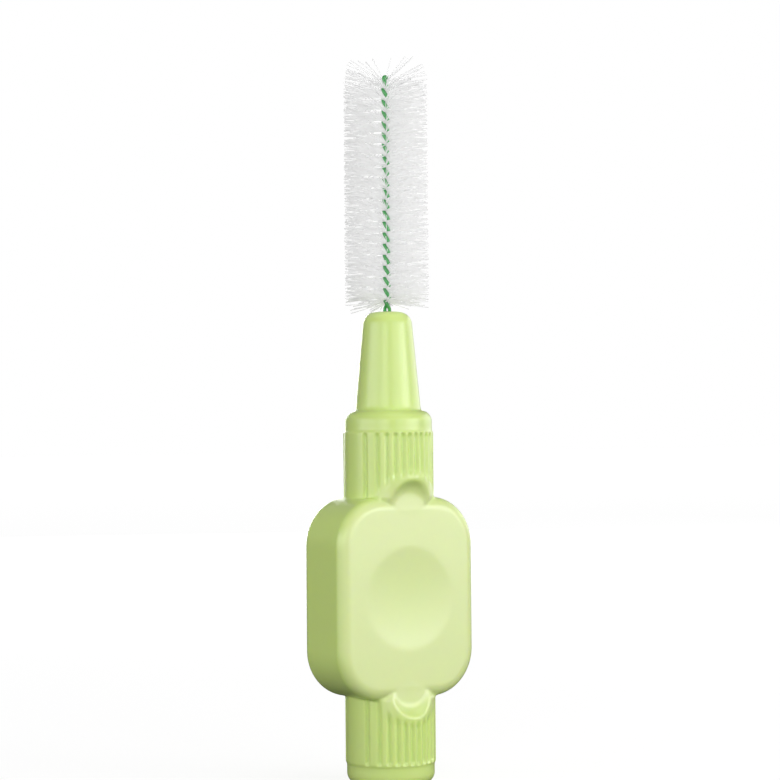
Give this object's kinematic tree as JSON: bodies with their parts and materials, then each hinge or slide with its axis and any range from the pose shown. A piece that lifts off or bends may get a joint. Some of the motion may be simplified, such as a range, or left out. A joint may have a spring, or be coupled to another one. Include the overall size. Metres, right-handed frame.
{
  "type": "interdental brush",
  "caption": "Interdental brush with a flat finger pad, ribbed round collars, a tapered nose and a twisted coated wire that clamps a spiral of nylon filaments.",
  "frame": {"origin": "centre of the handle's flat lower end", "axes": "+Z along the brush to the wire's tip, +X along the finger pad's width, -Y out of the pad's front face"},
  "size_m": [0.0088, 0.005, 0.0399],
  "materials": {
    "handle_plastic": "soft satin gloss, moulded pale yellow-green polypropylene",
    "coated_wire": "thin green plastic coating over stainless steel wire",
    "nylon_filament": "translucent white nylon"
  },
  "bodies": {
    "root": {"handle": "handle_plastic", "twisted_wire": "coated_wire", "bristle_tuft_01": "nylon_filament", "bristle_tuft_02": "nylon_filament", "bristle_tuft_03": "nylon_filament", "bristle_tuft_04": "nylon_filament", "bristle_tuft_05": "nylon_filament", "bristle_tuft_06": "nylon_filament", "bristle_tuft_07": "nylon_filament", "bristle_tuft_08": "nylon_filament", "bristle_tuft_09": "nylon_filament", "bristle_tuft_10": "nylon_filament", "bristle_tuft_11": "nylon_filament", "bristle_tuft_12": "nylon_filament", "bristle_tuft_13": "nylon_filament", "bristle_tuft_14": "nylon_filament", "bristle_tuft_15": "nylon_filament", "bristle_tuft_16": "nylon_filament", "bristle_tuft_17": "nylon_filament", "bristle_tuft_18": "nylon_filament", "bristle_tuft_19": "nylon_filament", "bristle_tuft_20": "nylon_filament"}
  },
  "joints": []
}
